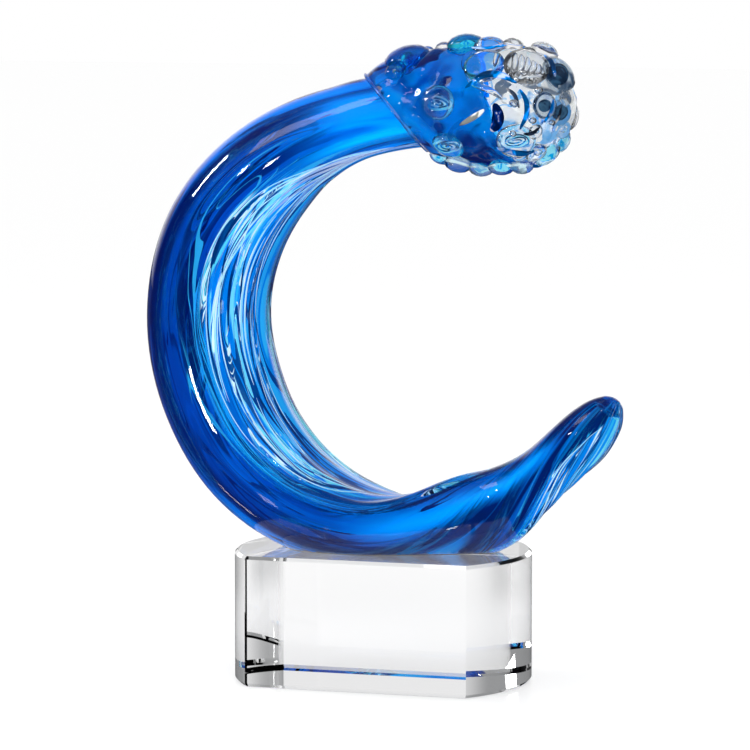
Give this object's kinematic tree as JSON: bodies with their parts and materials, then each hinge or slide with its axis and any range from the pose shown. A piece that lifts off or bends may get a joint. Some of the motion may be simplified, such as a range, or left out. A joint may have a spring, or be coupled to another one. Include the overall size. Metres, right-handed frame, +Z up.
{
  "type": "glass wave sculpture",
  "caption": "Hand-worked blue and clear glass wave that curls up in a C from a cut crystal block, with a twisted tail and a hooded crest of foam drops.",
  "frame": {"origin": "centre of the crystal block's underside, on the surface that the sculpture stands on", "axes": "+Z up, -Y out of the block's flat front face, +X to the right as seen from the front, where the crest and the tail point"},
  "size_m": [0.1876, 0.073, 0.2478],
  "materials": {
    "optical_crystal": "polished optical crystal, cut facets",
    "clear_adhesive": "cured clear adhesive",
    "cobalt_glass": "glossy hand-worked cobalt blue glass",
    "streaked_glass": "glossy clear glass with white and cyan streaks",
    "hood_glass": "glossy hand-worked blue glass",
    "clear_glass": "glossy clear glass",
    "swirl_glass": "glossy clear glass with white swirls",
    "teal_glass": "glossy teal glass",
    "smoke_glass": "glossy smoke blue glass",
    "aqua_glass": "glossy aqua glass"
  },
  "bodies": {
    "root": {"back_drops": "clear_glass", "blue_bubble": "hood_glass", "blue_wave_body": "cobalt_glass", "bond_film": "clear_adhesive", "clear_lobe": "clear_glass", "clear_rib_gather": "streaked_glass", "coil_drop": "clear_glass", "corner_bubble": "clear_glass", "crest_hood": "hood_glass", "crystal_base": "optical_crystal", "dark_drop": "smoke_glass", "foam_mass": "clear_glass", "front_drops": "clear_glass", "hood_bulge": "hood_glass", "oval_drop": "smoke_glass", "ripple_lobe": "clear_glass", "smoke_bubble": "smoke_glass", "streak_pad": "swirl_glass", "swirl_pad_lower": "swirl_glass", "swirl_pad_upper": "swirl_glass", "teal_bubble": "teal_glass", "top_drops": "clear_glass", "under_drops": "aqua_glass"}
  },
  "joints": []
}
